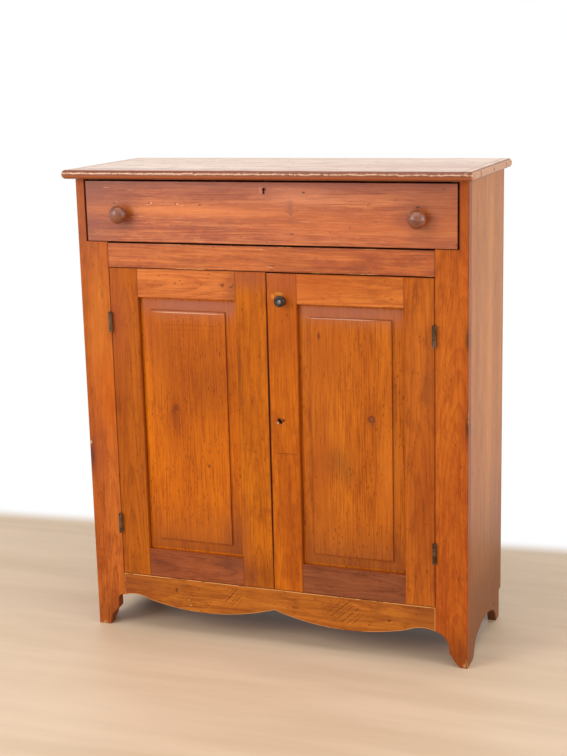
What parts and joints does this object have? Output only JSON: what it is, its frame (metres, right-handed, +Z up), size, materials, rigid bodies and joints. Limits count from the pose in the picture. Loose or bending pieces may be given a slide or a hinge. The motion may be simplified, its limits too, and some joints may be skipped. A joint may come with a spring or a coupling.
{
  "type": "jelly cupboard",
  "caption": "Country pine cupboard: a full-width drawer with turned wooden knobs over a pair of framed doors with raised panels, on cut-out feet with a scalloped skirt.",
  "frame": {"origin": "on the floor, under the middle of the whole piece", "axes": "+Z up, -Y out of the doors and the drawer, +X to the right as seen from the front"},
  "size_m": [1.022, 0.414, 1.18],
  "materials": {
    "pine": "satin",
    "pine_inside": "matt",
    "knob_wood": "gloss",
    "iron": "matt",
    "knob_metal": "worn"
  },
  "bodies": {
    "case": {"top_board": "pine", "top_end_left": "pine", "top_end_right": "pine", "side_board_left": "pine", "side_board_right": "pine", "face_stile_left": "pine", "face_stile_right": "pine", "front_rail": "pine", "skirt": "pine", "bottom_board": "pine_inside", "shelf_lower": "pine_inside", "shelf_upper": "pine_inside", "shelf_cleats": "pine_inside", "glue_blocks": "pine_inside", "back_board_1": "pine_inside", "back_board_2": "pine_inside", "back_board_3": "pine_inside", "back_board_4": "pine_inside", "back_board_5": "pine_inside", "back_rail": "pine_inside", "drawer_runner_left": "pine_inside", "drawer_runner_right": "pine_inside", "drawer_kickers": "pine_inside", "drawer_stops": "pine_inside", "top_nails": "iron", "back_nails": "iron", "hinge_leaves_left": "iron", "hinge_leaves_right": "iron", "hinge_pins": "iron", "hinge_screws": "iron"},
    "left_door": {"left_door_hinge_stile": "pine", "left_door_meeting_stile": "pine", "left_door_top_rail": "pine", "left_door_bottom_rail": "pine", "left_door_panel": "pine", "left_door_leaves": "iron", "left_door_screws": "iron", "slide_bolt_plate": "iron"},
    "left_door_bolt": {"slide_bolt": "iron"},
    "right_door": {"right_door_hinge_stile": "pine", "right_door_meeting_stile": "pine", "right_door_top_rail": "pine", "right_door_bottom_rail": "pine", "right_door_panel": "pine", "right_door_leaves": "iron", "right_door_screws": "iron", "door_lock_case": "iron"},
    "door_lock": {"door_lock_bolt": "iron"},
    "door_catch": {"door_knob": "knob_metal", "knob_spindle": "iron", "catch_bar": "iron"},
    "drawer": {"drawer_front": "pine", "drawer_side_left": "pine_inside", "drawer_side_right": "pine_inside", "drawer_back": "pine_inside", "drawer_bottom": "pine_inside", "drawer_knob_left": "knob_wood", "drawer_knob_right": "knob_wood", "drawer_lock_case": "iron"},
    "drawer_lock": {"drawer_lock_bolt": "iron"}
  },
  "joints": [
    {"name": "left_door_hinge", "type": "hinge", "parent": "case", "child": "left_door", "pos_m": [-0.4089, -0.1742, 0.5436], "axis": [0, 0, -1], "range_deg": [0, 175]},
    {"name": "right_door_hinge", "type": "hinge", "parent": "case", "child": "right_door", "pos_m": [0.4149, -0.1742, 0.5436], "axis": [0, 0, 1], "range_deg": [0, 175]},
    {"name": "drawer_slide", "type": "slide", "parent": "case", "child": "drawer", "axis": [0, -1, 0], "range_m": [0, 0.26]},
    {"name": "door_catch_turn", "type": "hinge", "parent": "right_door", "child": "door_catch", "pos_m": [0.044, -0.169, 0.874], "axis": [0, 1, 0], "range_deg": [0, 90]},
    {"name": "door_lock_travel", "type": "slide", "parent": "right_door", "child": "door_lock", "axis": [-1, 0, 0], "range_m": [0, 0.011]},
    {"name": "drawer_lock_travel", "type": "slide", "parent": "drawer", "child": "drawer_lock", "axis": [0, 0, 1], "range_m": [0, 0.013]},
    {"name": "slide_bolt_travel", "type": "slide", "parent": "left_door", "child": "left_door_bolt", "axis": [0, 0, 1], "range_m": [0, 0.016]}
  ]
}
